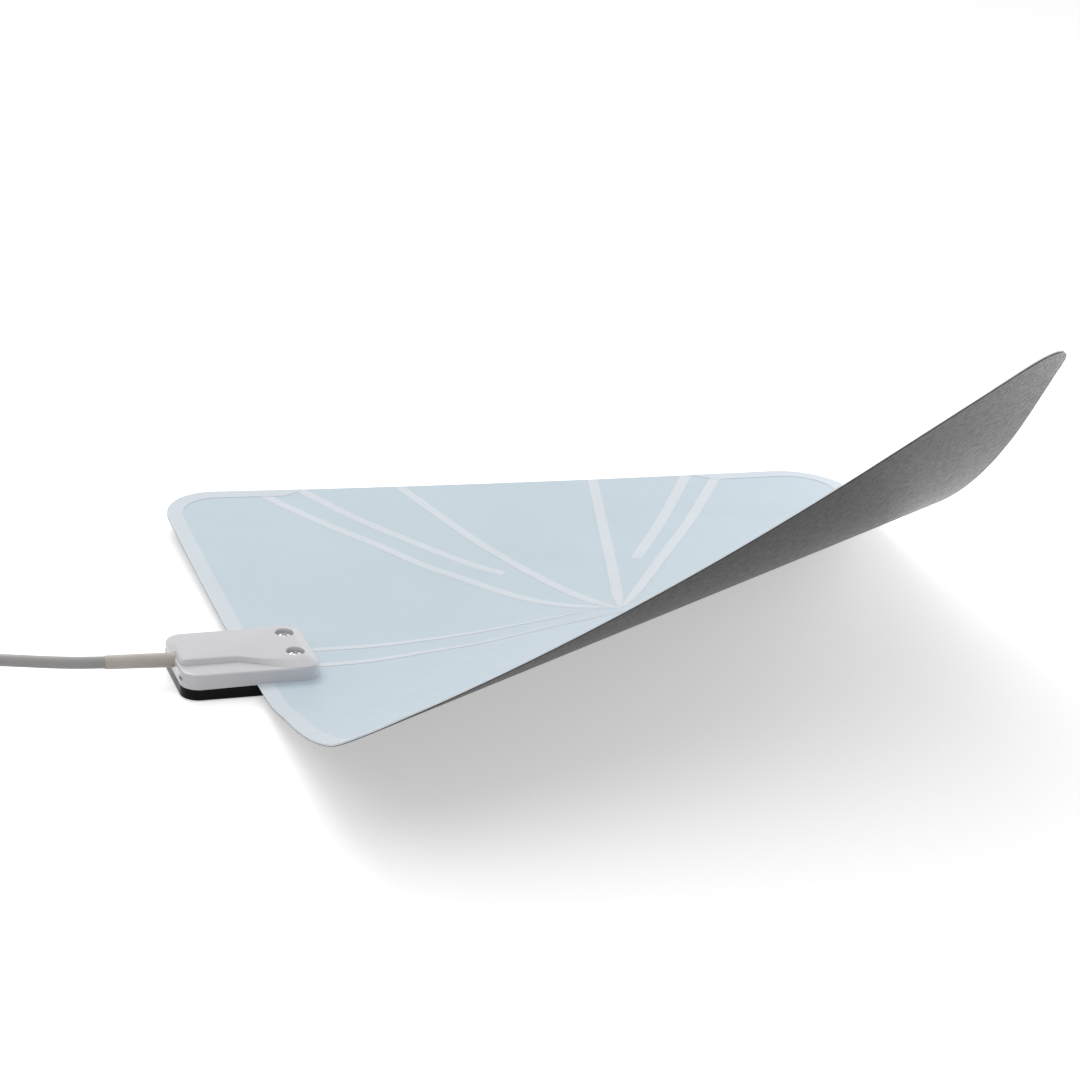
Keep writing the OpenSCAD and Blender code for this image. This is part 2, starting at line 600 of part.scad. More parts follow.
module cable_coil() {
    color([0.62, 0.59, 0.58]) translate([coil_mid[0], coil_mid[1], bundle_z]) rotate_extrude($fn = 96)
        translate([bundle_out - bundle_w, 0]) square([bundle_w, bundle_h]);
}
module coil_tie() {
    tie_w = 6;
    slack = 0.4;
    in = bundle_out - bundle_w - slack;
    out = bundle_out + slack / 2;
    color([0.1, 0.1, 0.1]) translate([coil_mid[0], coil_mid[1] - tie_w / 2, 0]) difference() {
        translate([in - tie_t, 0, 0.05]) cube([out - in + 2 * tie_t, tie_w, bundle_z + bundle_h + tie_t]);
        translate([in, -1, bundle_z - 0.05]) cube([out - in, tie_w + 2, bundle_h + 0.1]);
    }
}

module at_plug() {
    translate(plug_at) rotate([0, 0, 90]) children();
}
shell_r = shell_bore_r + shell_wall;
insulator_t = 2;
pin_out = 1.5;
module plug_grip() {
    groove_w = 0.8;
    groove_depth = 0.4;
    color([0.12, 0.12, 0.13]) at_plug() difference() {
        rod(0, grip_l, grip_r);
        for (x = [3:2:grip_l - 4]) difference() {
            rod(x, x + groove_w, grip_r + 1);
            rod(x - 1, x + groove_w + 1, grip_r - groove_depth);
        }
    }
}
module plug_shell() {
    slit_w = 0.5;
    slit_start = 3;
    color([0.78, 0.78, 0.8]) at_plug() difference() {
        rod(grip_l, grip_l + shell_l, shell_r);
        rod(grip_l - 1, grip_l + shell_l + 1, shell_bore_r);
        for (a = [30:60:150]) rotate([a, 0, 0]) translate([grip_l + slit_start, -slit_w / 2, -shell_r - 1])
            cube([shell_l, slit_w, 2 * shell_r + 2]);
    }
}
module plug_insulator() {
    color([0.92, 0.92, 0.9]) at_plug() difference() {
        rod(grip_l, grip_l + insulator_t, shell_bore_r);
        rod(grip_l - 1, grip_l + insulator_t + 1, conductor_r);
    }
}
module plug_pin() {
    color([0.72, 0.45, 0.3]) at_plug() rod(grip_l, grip_l + shell_l + pin_out, conductor_r);
}

back_film();
bond_web();
foil_main();
foil_left();
foil_inner_left();
foil_centre();
foil_inner_right();
front_film();
bottom_cover();
top_cover();
cover_screws();
circuit_board();
contact_blocks();
balun_core();
balun_winding();
chip_parts();
solder_joint();
crimp_ring();
strain_relief();
cable_jacket();
cable_braid();
cable_dielectric();
cable_conductor();
cable_tube();
cable_coil();
cable_tail();
coil_tie();
plug_grip();
plug_shell();
plug_insulator();
plug_pin();
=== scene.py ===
"""Flat indoor television antenna: a curled printed sheet, its small housing and its thin coaxial lead."""
import json
import math

import bmesh
import bpy
import numpy as np
from mathutils import Matrix, Vector


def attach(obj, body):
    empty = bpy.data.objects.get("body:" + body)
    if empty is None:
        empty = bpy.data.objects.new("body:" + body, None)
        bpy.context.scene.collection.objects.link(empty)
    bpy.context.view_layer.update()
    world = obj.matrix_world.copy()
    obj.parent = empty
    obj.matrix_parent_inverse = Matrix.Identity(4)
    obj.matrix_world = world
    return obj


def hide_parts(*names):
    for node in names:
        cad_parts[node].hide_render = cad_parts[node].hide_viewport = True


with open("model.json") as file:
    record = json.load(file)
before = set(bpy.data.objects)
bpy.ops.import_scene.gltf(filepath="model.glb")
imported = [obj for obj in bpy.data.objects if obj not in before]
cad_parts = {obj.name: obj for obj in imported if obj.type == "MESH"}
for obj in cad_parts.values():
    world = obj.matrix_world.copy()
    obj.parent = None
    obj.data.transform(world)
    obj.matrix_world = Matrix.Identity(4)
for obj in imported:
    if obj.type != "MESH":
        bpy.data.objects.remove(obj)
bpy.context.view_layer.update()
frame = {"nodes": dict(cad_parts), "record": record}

MM = 0.001
nodes = frame["nodes"]


# Camera, at the photograph's place and angle

AZIMUTH, ELEVATION, ROLL = math.radians(-19.35), math.radians(22.18), math.radians(3.73)
CAMERA_DISTANCE = 1.2881
AIM = Vector((0.1665, 0.0, 0.0293))
AIM_SIDEWAYS, AIM_UPWARDS = -0.0469, 0.0136
LENS, SENSOR = 110.0, 36.0


def add_camera():
    flat = math.cos(ELEVATION)
    back = Vector((math.sin(AZIMUTH) * flat, -math.cos(AZIMUTH) * flat, math.sin(ELEVATION)))
    level = Vector((math.cos(AZIMUTH), math.sin(AZIMUTH), 0.0))
    upright = back.cross(level)
    right = math.cos(ROLL) * level + math.sin(ROLL) * upright
    up = math.cos(ROLL) * upright - math.sin(ROLL) * level
    eye = AIM + right * AIM_SIDEWAYS + up * AIM_UPWARDS + back * CAMERA_DISTANCE
    data = bpy.data.cameras.new("camera")
    data.lens = LENS
    data.sensor_width = SENSOR
    data.clip_start = 0.05
    camera = bpy.data.objects.new("camera", data)
    axes = Matrix((right, up, back)).transposed().to_4x4()
    camera.matrix_world = Matrix.Translation(eye) @ axes
    bpy.context.scene.collection.objects.link(camera)
    bpy.context.scene.camera = camera


# Materials

def linear(red, green, blue):
    """A colour given as it looks on screen, 0 to 255, as Blender's linear one."""
    def one(c):
        c /= 255.0
        return c / 12.92 if c <= 0.04045 else ((c + 0.055) / 1.055) ** 2.4
    return (one(red), one(green), one(blue), 1.0)


def mix(a, b, share):
    return tuple(x + (y - x) * share for x, y in zip(a, b))


class Surface:
    """A procedural material: colour that varies with noise, uneven roughness and a fine bump."""

    def __init__(self, name, colour, rough, metallic=0.0, coat=0.0, specular=0.5):
        self.material = bpy.data.materials.new(name)
        self.material.use_nodes = True
        self.tree = self.material.node_tree
        self.shader = self.tree.nodes["Principled BSDF"]
        self.shader.inputs["Metallic"].default_value = metallic
        self.shader.inputs["Coat Weight"].default_value = coat
        self.shader.inputs["Specular IOR Level"].default_value = specular
        self.shader.inputs["Coat Roughness"].default_value = 0.08
        self.colour = colour
        self.rough = rough
        self.place = self.tree.nodes.new("ShaderNodeTexCoord").outputs["Object"]
        self.height = None

    def node(self, kind, **values):
        made = self.tree.nodes.new(kind)
        for key, value in values.items():
            if key in made.inputs:
                made.inputs[key].default_value = value
            else:
                setattr(made, key, value)
        return made

    def noise(self, scale, detail=3.0, rough=0.55, stretch=None):
        noise = self.node("ShaderNodeTexNoise", Scale=scale, Detail=detail, Roughness=rough)
        source = self.place
        if stretch:
            turn = self.node("ShaderNodeMapping")
            turn.inputs["Scale"].default_value = stretch
            self.tree.links.new(source, turn.inputs["Vector"])
            source = turn.outputs["Vector"]
        self.tree.links.new(source, noise.inputs["Vector"])
        return noise.outputs["Fac"]

    def ramp(self, source, low, high, first, last):
        ramp = self.node("ShaderNodeValToRGB")
        ramp.color_ramp.elements[0].position = low
        ramp.color_ramp.elements[1].position = high
        ramp.color_ramp.elements[0].color = first
        ramp.color_ramp.elements[1].color = last
        self.tree.links.new(source, ramp.inputs["Fac"])
        return ramp.outputs["Color"]

    def vary_colour(self, scale, amount, detail=3.0, tint=(0.0, 0.0, 0.0)):
        """Colour that drifts by a share of itself, and towards tint where it's light."""
        dark = tuple(c * (1 - amount) for c in self.colour[:3]) + (1.0,)
        light = tuple(min(1.0, c * (1 + amount) + t) for c, t in zip(self.colour[:3], tint)) + (1.0,)
        out = self.ramp(self.noise(scale, detail), 0.3, 0.7, dark, light)
        self.tree.links.new(out, self.shader.inputs["Base Color"])
        self.base = out
        return self

    def speckle(self, scale, colour, low, high):
        """Fine specks of another colour over the base."""
        blend = self.node("ShaderNodeMix", data_type="RGBA")
        mask = self.ramp(self.noise(scale, 2.0, 0.7), low, high, (0, 0, 0, 1), (1, 1, 1, 1))
        self.tree.links.new(mask, blend.inputs["Factor"])
        self.tree.links.new(self.base, blend.inputs["A"])
        blend.inputs["B"].default_value = colour
        self.tree.links.new(blend.outputs["Result"], self.shader.inputs["Base Color"])
        self.base = blend.outputs["Result"]
        return self

    def vary_rough(self, scale, amount, detail=3.0):
        spread = self.node("ShaderNodeMapRange")
        self.tree.links.new(self.noise(scale, detail), spread.inputs["Value"])
        spread.inputs["From Min"].default_value = 0.3
        spread.inputs["From Max"].default_value = 0.7
        spread.inputs["To Min"].default_value = max(0.02, self.rough - amount)
        spread.inputs["To Max"].default_value = self.rough + amount
        self.tree.links.new(spread.outputs["Result"], self.shader.inputs["Roughness"])
        return self

    def bump(self, scale, depth_mm, detail=2.0, stretch=None):
        bump = self.node("ShaderNodeBump")
        bump.inputs["Strength"].default_value = 0.6
        bump.inputs["Distance"].default_value = depth_mm * MM
        self.tree.links.new(self.noise(scale, detail, 0.55, stretch), bump.inputs["Height"])
        if self.height:
            self.tree.links.new(self.height, bump.inputs["Normal"])
        self.height = bump.outputs["Normal"]
        self.tree.links.new(self.height, self.shader.inputs["Normal"])
        return self


def simple(name, colour, rough, metallic=0.0, grain=900.0, depth=0.02, coat=0.0, specular=0.5):
    made = Surface(name, colour, rough, metallic, coat, specular=specular)
    return made.vary_colour(grain / 6, 0.05).vary_rough(grain / 3, 0.05).bump(grain, depth).material


FIELD_BLUE = linear(194, 208, 217)
BAND_PALE = linear(212, 219, 225)
BORDER_PALE = linear(208, 217, 224)
CHARCOAL = linear(24, 23, 25)


def printed(name, colour):
    """The satin front film, with the faint mottle of print under a clear film."""
    made = Surface(name, colour, 0.42, specular=0.4)
    made.vary_colour(28.0, 0.02).speckle(2600.0, mix(colour, (1, 1, 1, 1), 0.25), 0.55, 0.8)
    made.vary_rough(180.0, 0.05).bump(2200.0, 0.006).bump(30.0, 0.08)
    return made.material


def dark_back():
    """The charcoal back film: satin, with fine pale specks."""
    made = Surface("dark_back", CHARCOAL, 0.27, specular=0.02)
    made.vary_colour(40.0, 0.1).speckle(1500.0, linear(88, 85, 90), 0.6, 0.78)
    made.vary_rough(400.0, 0.04).bump(1500.0, 0.012)
    return made.material


def white_plastic():
    made = Surface("white_plastic", linear(205, 204, 207), 0.22, coat=0.2)
    made.vary_colour(60.0, 0.006).vary_rough(300.0, 0.03).bump(1400.0, 0.003)
    return made.material


def black_plastic():
    made = Surface("black_plastic", linear(12, 11, 13), 0.24, specular=0.08)
    made.vary_colour(120.0, 0.1).vary_rough(260.0, 0.04).bump(900.0, 0.006)
    return made.material


def lead_plastic(name, colour):
    made = Surface(name, colour, 0.42, specular=0.45)
    made.vary_colour(120.0, 0.04).vary_rough(500.0, 0.06)
    made.bump(1800.0, 0.015).bump(160.0, 0.06, stretch=(0.2, 1, 1))
    return made.material


MATERIALS = {
    "field": printed("printed_field", FIELD_BLUE),
    "band": printed("printed_band", BAND_PALE),
    "border": printed("printed_border", BORDER_PALE),
    # The front film's cut edge: a pale film edge, whitened further as a painted edge highlight
    "edge": simple("film_edge_painted_highlight", linear(236, 238, 240), 0.4),
    "back": dark_back(),
    "back_edge": simple("back_edge", linear(34, 33, 35), 0.45),
    "white": white_plastic(),
    "black": black_plastic(),
    "lead": lead_plastic("lead_jacket", linear(158, 156, 155)),
    "sleeve": lead_plastic("lead_sleeve", linear(186, 178, 171)),
    "screw": simple("screw_steel", linear(232, 232, 234), 0.26, metallic=1.0, grain=1500.0),
}

# Hidden and carried-over CAD pieces by material slot: colour, roughness and metal
SLOT_LOOKS = {
    "board": (linear(36, 110, 62), 0.35, 0.0),
    "contact": (linear(214, 178, 96), 0.3, 1.0),
    "ferrite": (linear(58, 57, 60), 0.6, 0.0),
    "copper": (linear(201, 126, 82), 0.28, 1.0),
    "chips": (linear(120, 104, 84), 0.5, 0.0),
    "solder": (linear(196, 197, 200), 0.25, 1.0),
    "crimp": (linear(198, 198, 200), 0.3, 1.0),
    "jacket": (linear(176, 169, 165), 0.42, 0.0),
    "braid": (linear(190, 190, 192), 0.35, 1.0),
    "dielectric": (linear(240, 240, 236), 0.4, 0.0),
    "tie": (linear(34, 34, 35), 0.5, 0.0),
    "grip": (linear(40, 40, 42), 0.5, 0.0),
    "plug_metal": (linear(208, 208, 211), 0.16, 1.0),
}


def dress_cad_nodes():
    slot_of = {part["node"]: part["material_slot"] for part in frame["record"]["subparts"]}
    made = {}
    for name, (colour, rough, metal) in SLOT_LOOKS.items():
        made[name] = simple("cad_" + name, colour, rough, metal)
    for name, node in nodes.items():
        slot = slot_of.get(name)
        if slot in made:
            node.data.materials.clear()
            node.data.materials.append(made[slot])


# Mesh helpers

def mesh_object(name, vertices, faces, materials, face_materials=None, flat_faces=()):
    """A mesh in metres, linked into the scene."""
    mesh = bpy.data.meshes.new(name)
    corners = [tuple(float(x) for x in v) for v in vertices]
    mesh.from_pydata(corners, [], [tuple(int(i) for i in f) for f in faces])
    for material in materials:
        mesh.materials.append(material)
    if face_materials is not None:
        mesh.polygons.foreach_set("material_index", np.asarray(face_materials, dtype=np.int32))
    smooth = np.ones(len(mesh.polygons), dtype=bool)
    if len(flat_faces):
        smooth[list(flat_faces)] = False
    mesh.polygons.foreach_set("use_smooth", smooth)
    mesh.update()
    piece = bpy.data.objects.new(name, mesh)
    bpy.context.scene.collection.objects.link(piece)
    return piece


def loft(layers):
    """Vertices and faces of a closed skin through equal counter-clockwise outlines, lowest first."""
    count = len(layers[0])
    vertices = np.concatenate([np.asarray(layer, float) for layer in layers])
    faces = []
    for k in range(len(layers) - 1):
        for i in range(count):
            j = (i + 1) % count
            faces.append((k * count + i, k * count + j, (k + 1) * count + j, (k + 1) * count + i))
    faces.append(tuple(range(count - 1, -1, -1)))
    faces.append(tuple(range((len(layers) - 1) * count, len(layers) * count)))
    return vertices, faces


def lathe(profile, sides=48):
    """A solid of revolution about Z through (radius, height) points, lowest first."""
    turn = np.linspace(0, 2 * np.pi, sides, endpoint=False)
    ring = np.stack([np.cos(turn), np.sin(turn)], axis=1)
    return loft([np.column_stack([ring * r, np.full(sides, z)]) for r, z in profile])


def cut(piece, *cutters, operation="DIFFERENCE"):
    """Applies booleans to a piece, then deletes their cutters."""
    for cutter in cutters:
        modifier = piece.modifiers.new("cut", "BOOLEAN")
        modifier.operation = operation
        modifier.solver = "EXACT"
        modifier.object = cutter
        graph = bpy.context.evaluated_depsgraph_get()
        result = bpy.data.meshes.new_from_object(piece.evaluated_get(graph))
        piece.modifiers.clear()
        old = piece.data
        piece.data = result
        bpy.data.meshes.remove(old)
        bpy.data.objects.remove(cutter)
    return piece


def shade(piece, angle):
    mesh = piece.data
    mesh.polygons.foreach_set("use_smooth", np.ones(len(mesh.polygons), dtype=bool))
    mesh.set_sharp_from_angle(angle=math.radians(angle))
    mesh.update()


def place(piece, slot, *replaced):
    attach(piece, "root")
    if replaced:
        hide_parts(*replaced)
    return piece


# The lead: route points in millimetres as the construction has them

CABLE_D = 4.6
EXIT_YAW = math.radians(5.0)
RELIEF_L = 25.5
CASE_L, CASE_W, CASE_R = 53.0, 39.0, 7.0
CABLE_Z = 8.7
RELIEF_END = (-CASE_L / 2 - RELIEF_L * math.cos(EXIT_YAW), RELIEF_L * math.sin(EXIT_YAW), CABLE_Z)
LEAD_ROUTE = [RELIEF_END, (-62, 3.4, 8.8), (-72, 5.6, 8.9), (-82, 9, 8.7), (-92, 13, 8.1),
              (-101, 16.4, 6.7), (-111, 18.8, 4.8), (-121, 19.9, 3.4), (-131, 20, 2.9), (-142, 20, 2.9)]
TAIL_ROUTE = [(-142, 20, 17), (-152, 20.2, 17), (-162, 21.4, 16.4), (-171, 25, 15), (-178.5, 31.5, 12.8),
              (-183.5, 40, 10.2), (-185.6, 50, 8), (-185.7, 58, 6.5), (-185.5, 66, 5.9)]
ROUTE_STEP = 2.0
COIL_MID = (-142.0, 54.5)
COIL_RINGS, COIL_LAYERS = 4, 4
COIL_OUTER_TURN = 34.5
TURN_PITCH = CABLE_D + 0.1
COIL_LOWEST = 2.9
STEP_SHARE = 0.34


def rounded_route(points, step):
    """Points every step along a Catmull-Rom curve through a given route."""
    p = np.asarray(points, float)
    p = np.vstack([2 * p[0] - p[1], p, 2 * p[-1] - p[-2]])
    out = []
    for k in range(1, len(p) - 2):
        count = max(2, int(np.linalg.norm(p[k + 1] - p[k]) / step))
        for t in np.arange(count) / count:
            out.append(0.5 * (2 * p[k] + (p[k + 1] - p[k - 1]) * t
                              + (2 * p[k - 1] - 5 * p[k] + 4 * p[k + 1] - p[k + 2]) * t ** 2
                              + (3 * p[k] - p[k - 1] - 3 * p[k + 1] + p[k + 2]) * t ** 3))
    out.append(p[-2])
    return np.array(out)


def coil_route():
    """The coil's turns: each stays on its ring, and its last part steps over to the next one."""
    rings = []
    for layer in range(COIL_LAYERS):
        order = range(COIL_RINGS) if layer % 2 == 0 else range(COIL_RINGS - 1, -1, -1)
        rings += [(COIL_OUTER_TURN - TURN_PITCH * ring, COIL_LOWEST + TURN_PITCH * layer) for ring in order]
    points = []
    per_turn = 64
    for k, (radius, height) in enumerate(rings):
        next_radius, next_height = rings[min(k + 1, len(rings) - 1)]
        for i in range(per_turn):
            share = i / per_turn
            step = min(1.0, max(0.0, (share - 1 + STEP_SHARE) / STEP_SHARE))
            step = step * step * (3 - 2 * step)
            r = radius + (next_radius - radius) * step
            turn = 2 * math.pi * share
            points.append((COIL_MID[0] - r * math.sin(turn), COIL_MID[1] - r * math.cos(turn),
                           height + (next_height - height) * step))
    return np.array(points)


def add_lead():
    first = rounded_route(LEAD_ROUTE, ROUTE_STEP)[:-1]
    route = np.vstack([first, coil_route(), rounded_route(TAIL_ROUTE, ROUTE_STEP)]) * MM
    curve = bpy.data.curves.new("lead", "CURVE")
    curve.dimensions = "3D"
    curve.bevel_depth = CABLE_D / 2 * MM
    curve.bevel_resolution = 6
    curve.use_fill_caps = True
    spline = curve.splines.new("POLY")
    spline.points.add(len(route) - 1)
    for point, place_of in zip(spline.points, route):
        point.co = (*place_of, 1.0)
    spline.use_smooth = True
    curve.materials.append(MATERIALS["lead"])
    lead = bpy.data.objects.new("lead", curve)
    bpy.context.scene.collection.objects.link(lead)
    place(lead, "jacket", "cable_tube", "cable_coil", "cable_tail")


# The sheet: a flat rectangle, curled by many small folds, as in the construction

SHEET_LEN, SHEET_WIDTH, CORNER_R = 305.0, 330.0, 25.0
SETBACK, SHEET_Z = 1.5, 4.8
HALF_FILM = 0.3
CURL_HEADING, CURL_TURN, CURL_START = math.radians(63.0), math.radians(-3.7), -34.0
CURL_PLACES = (0.0, 50.0, 110.0, 180.0, 290.0)
CURL_RATES = (0.0, 0.31, 0.56, 0.34, 0.14)
FOLD_STEP, FOLD_RUN = 2.0, 300.0
REST_PITCH, REST_ROLL = math.radians(1.0), math.radians(0.5)
CLAMP_U, CLAMP_V, CLAMP_BLEND = 25.0, 20.0, 45.0
CORNER_LIFT = 3.0


def fold_chain():
    """The fold lines (direction, distance) and the placing (turn, shift) of the sheet past each one."""
    start = np.array([math.cos(CURL_HEADING), -math.sin(CURL_HEADING)])
    turn, shift = np.eye(3), np.zeros(3)
    lines, placings = [], [(turn, shift)]
    for s in np.arange(FOLD_STEP / 2, FOLD_RUN, FOLD_STEP):
        heading = CURL_HEADING + CURL_TURN * s / 100
        across = np.array([math.cos(heading), -math.sin(heading)])
        foot = start * (CURL_START + s)
        lines.append((across, foot @ across))
        angle = np.interp(s, CURL_PLACES, CURL_RATES) / 100 * FOLD_STEP
        axis = Vector((-math.sin(heading), -math.cos(heading), 0.0))
        fold = np.array(Matrix.Rotation(angle, 3, axis))
        foot3 = np.array([foot[0], foot[1], 0.0])
        shift = turn @ (foot3 - fold @ foot3) + shift
        turn = turn @ fold
        placings.append((turn, shift))
    return lines, placings


LINES, PLACINGS = fold_chain()
TURNS = np.array([turn for turn, _ in PLACINGS])
SHIFTS = np.array([shift for _, shift in PLACINGS])


def folded(uv):
    count = np.zeros(len(uv), int)
    for across, distance in LINES:
        count += (uv @ across > distance)
    flat = np.column_stack([uv, np.zeros(len(uv))])
    return np.einsum("nij,nj->ni", TURNS[count], flat) + SHIFTS[count]


def rest_turn():
    """The flat part's small slope, as a rotation."""
    n = np.array([math.cos(CURL_HEADING), -math.sin(CURL_HEADING), 0.0])
    r = np.array([math.sin(CURL_HEADING), math.cos(CURL_HEADING), 0.0])
    up = np.array([0.0, 0.0, 1.0])
    n2 = n * math.cos(REST_PITCH) - up * math.sin(REST_PITCH)
    r2 = r * math.cos(REST_ROLL) - up * math.sin(REST_ROLL)
    r2 -= (r2 @ n2) * n2
    r2 /= np.linalg.norm(r2)
    z2 = np.cross(n2, r2)
    z2 *= np.sign(z2[2])
    return np.outer(n2, n) + np.outer(r2, r) + np.outer(z2, up)


REST_TURN = rest_turn()
REST_POINT = np.array([17.0, 0.0, 0.0])
REST_SHIFT = REST_POINT + [0, 0, SHEET_Z] - REST_TURN @ folded(REST_POINT[None, :2])[0]


def smooth_share(x):
    x = np.clip(x, 0, 1)
    return x * x * (3 - 2 * x)


def sheet_points(uv):
    """The sheet's middle surface at flat places, in millimetres."""
    uv = np.asarray(uv, float)
    u, v = uv[:, 0], uv[:, 1]
    bent = folded(uv) @ REST_TURN.T + REST_SHIFT
    away = np.hypot(np.maximum(u - CLAMP_U - 1, 0), np.maximum(np.abs(v) - CLAMP_V, 0))
    held = smooth_share(1 - away / CLAMP_BLEND)[:, None]
    level = np.column_stack([u, v, np.full(len(u), SHEET_Z)])
    bent = bent + held * (level - bent)
    bent[:, 2] += (CORNER_LIFT * np.maximum((v - 20) / (SHEET_WIDTH / 2 - 20), 0) ** 2
                   * np.maximum(1 - u / (0.75 * SHEET_LEN), 0) ** 2)
    bent[:, 0] += SETBACK
    return bent


def on_sheet(uv, height):
    """Places on the sheet, a height above its middle surface, in metres."""
    uv = np.asarray(uv, float)
    reach = 2.0
    along = sheet_points(uv + [reach, 0]) - sheet_points(uv - [reach, 0])
    across = sheet_points(uv + [0, reach]) - sheet_points(uv - [0, reach])
    normal = np.cross(along, across)
    normal /= np.linalg.norm(normal, axis=1)[:, None]
    return (sheet_points(uv) + normal * np.reshape(height, (-1, 1))) * MM


def half_height(u):
    gap = CORNER_R - np.minimum(np.minimum(u, SHEET_LEN - u), CORNER_R)
    return SHEET_WIDTH / 2 - CORNER_R + np.sqrt(CORNER_R ** 2 - gap ** 2)


def flat_grid():
    """A grid of flat places that follows the round corners."""
    turn = np.linspace(0, math.pi / 2, 13)
    near = CORNER_R * (1 - np.cos(turn))[:-1]
    straight = np.linspace(CORNER_R, SHEET_LEN - CORNER_R, 110)
    columns = np.concatenate([near, straight, SHEET_LEN - near[::-1]])
    rows = np.concatenate([np.linspace(-1, 0, 70)[:-1], np.linspace(0, 1, 70)])
    spread = math.pi / 2 * 0.9
    v = half_height(columns)[:, None] * np.sin(rows * spread)[None] / math.sin(spread)
    return np.stack([np.repeat(columns[:, None], len(rows), axis=1), v], axis=2)


def film(name, low, high, face_material, edge_material):
    """One film of the sheet as a thin closed slab with its own edge material."""
    grid = flat_grid()
    n, m = grid.shape[:2]
    uv = grid.reshape(-1, 2)
    vertices = np.vstack([on_sheet(uv, high), on_sheet(uv, low)])
    below = n * m
    faces = []
    for i in range(n - 1):
        for j in range(m - 1):
            a, b, c, d = i * m + j, (i + 1) * m + j, (i + 1) * m + j + 1, i * m + j + 1
            faces.append((a, b, c, d))
            faces.append((below + a, below + d, below + c, below + b))
    border = ([i * m for i in range(n)] + [(n - 1) * m + j for j in range(1, m)]
              + [i * m + m - 1 for i in range(n - 2, -1, -1)] + [j for j in range(m - 2, 0, -1)])
    walls = []
    for k, a in enumerate(border):
        b = border[(k + 1) % len(border)]
        walls.append(len(faces))
        faces.append((below + a, below + b, b, a))
    kinds = np.zeros(len(faces), int)
    kinds[walls] = 1
    return mesh_object(name, vertices, faces, [face_material, edge_material], kinds, flat_faces=walls)


# Printed bands, as flat places (u, v) on the sheet, each half of the print with its own three

OUTER_BAND = [(43, 165), (52, 148), (66, 125), (80, 105), (93, 83), (107, 65), (127, 36), (148, 13),
              (153, 6)]
MIDDLE_BAND = [(62, 165), (78, 134), (99, 101), (113, 81), (124, 69)]
INNER_BAND = [(106.5, 165), (121, 110), (131, 80), (141, 49), (150, 15), (151.5, 7)]
RIGHT_INNER_BAND = [(195, 165), (181, 109), (169, 63), (155, 14), (154, 7)]
RIGHT_MIDDLE_BAND = [(239, 165), (211, 118), (183, 74)]
RIGHT_OUTER_BAND = [(254, 165), (222, 114), (192, 69), (159, 15), (155, 7)]
FEED_UPPER = [(25, 7), (33, 7), (60, 6), (88, 7), (107, 9), (127, 11), (147, 14), (164, 15)]
FEED_LOWER = [(25, -7), (32, -7), (61, -8), (89, -7), (103, -5), (123, -2), (142, -1), (151, -2)]
BAND_HEIGHT = HALF_FILM + 0.03
BAND_STEP = 0.006
BORDER_HEIGHT = BAND_HEIGHT + 0.06
BAND_W, FEED_W = 4.6, 3.2
HUB_PINCH = (30.0, 0.45)
FEED_PINCH = (120.0, 0.4)


def flat_curve(points, step=1.5):
    return rounded_route([(u, v, 0.0) for u, v in points], step)[:, :2]


def ribbon(points, width, pinch=(0.0, 1.0)):
    """Both edges of a band along flat points, drawn in over a length to a share of its width at its end."""
    line = flat_curve(points)
    along = np.gradient(line, axis=0)
    along /= np.linalg.norm(along, axis=1)[:, None]
    side = np.column_stack([-along[:, 1], along[:, 0]])
    run = np.concatenate([[0], np.cumsum(np.linalg.norm(np.diff(line, axis=0), axis=1))])
    half = np.full(len(line), width / 2.0)
    length, share = pinch
    if length:
        half *= share + (1 - share) * smooth_share((run[-1] - run) / length)
    left, right = line + side * half[:, None], line - side * half[:, None]
    for edge in (left, right):
        edge[:, 1] = np.clip(edge[:, 1], -half_height(edge[:, 0]), half_height(edge[:, 0]))
    return left, right


def border_band(mirrored_side=False):
    """The band along the left edge and round its corners, or the same along the right edge."""
    width, far_end, near_end = 6.5, 65.0, 40.0
    side = SHEET_WIDTH / 2 - CORNER_R
    straight = np.arange(-side, side, 2.0)
    turn = np.linspace(0, math.pi / 2, 24)
    far_arc = np.column_stack([CORNER_R - CORNER_R * np.cos(turn), side + CORNER_R * np.sin(turn)])
    near_arc = far_arc[::-1] * [1, -1]
    far_run = np.arange(CORNER_R + 2.0, far_end, 2.0)
    near_run = np.arange(near_end, CORNER_R + 1.0, -2.0)
    outer = np.vstack([np.column_stack([near_run, np.full(len(near_run), -SHEET_WIDTH / 2)]), near_arc,
                       np.column_stack([np.zeros(len(straight)), straight]), far_arc,
                       np.column_stack([far_run, np.full(len(far_run), SHEET_WIDTH / 2)])])
    along = np.gradient(outer, axis=0)
    along /= np.linalg.norm(along, axis=1)[:, None] + 1e-9
    inward = np.column_stack([along[:, 1], -along[:, 0]])
    run = np.concatenate([[0], np.cumsum(np.linalg.norm(np.diff(outer, axis=0), axis=1))])
    taper = smooth_share(run / 50.0) * smooth_share((run[-1] - run) / 14.0 + 0.25)
    inner = outer + inward * (width * np.maximum(taper, 0.04))[:, None]
    if mirrored_side:
        return outer * [-1, 1] + [SHEET_LEN, 0], inner * [-1, 1] + [SHEET_LEN, 0]
    return outer, inner


def band_mesh(name, edges, material, lowest):
    """Thin printed bands laid on the front film between their edges, each a hair above the last."""
    vertices, heights, faces = [], [], []
    across = 3
    for order, (left, right) in enumerate(edges):
        base = len(vertices)
        count = len(left)
        for k in range(count):
            for j in range(across + 1):
                vertices.append(left[k] + (right[k] - left[k]) * j / across)
                heights.append(lowest + BAND_STEP * order)
        for k in range(count - 1):
            for j in range(across):
                a = base + k * (across + 1) + j
                b = a + across + 1
                faces.append((a, a + 1, b + 1, b))
    placed = on_sheet(np.array(vertices), np.array(heights))
    piece = mesh_object(name, placed, faces, [material])
    mesh = bmesh.new()
    mesh.from_mesh(piece.data)
    for face in mesh.faces:
        if face.normal.z < 0:
            face.normal_flip()
    mesh.to_mesh(piece.data)
    mesh.free()
    return piece


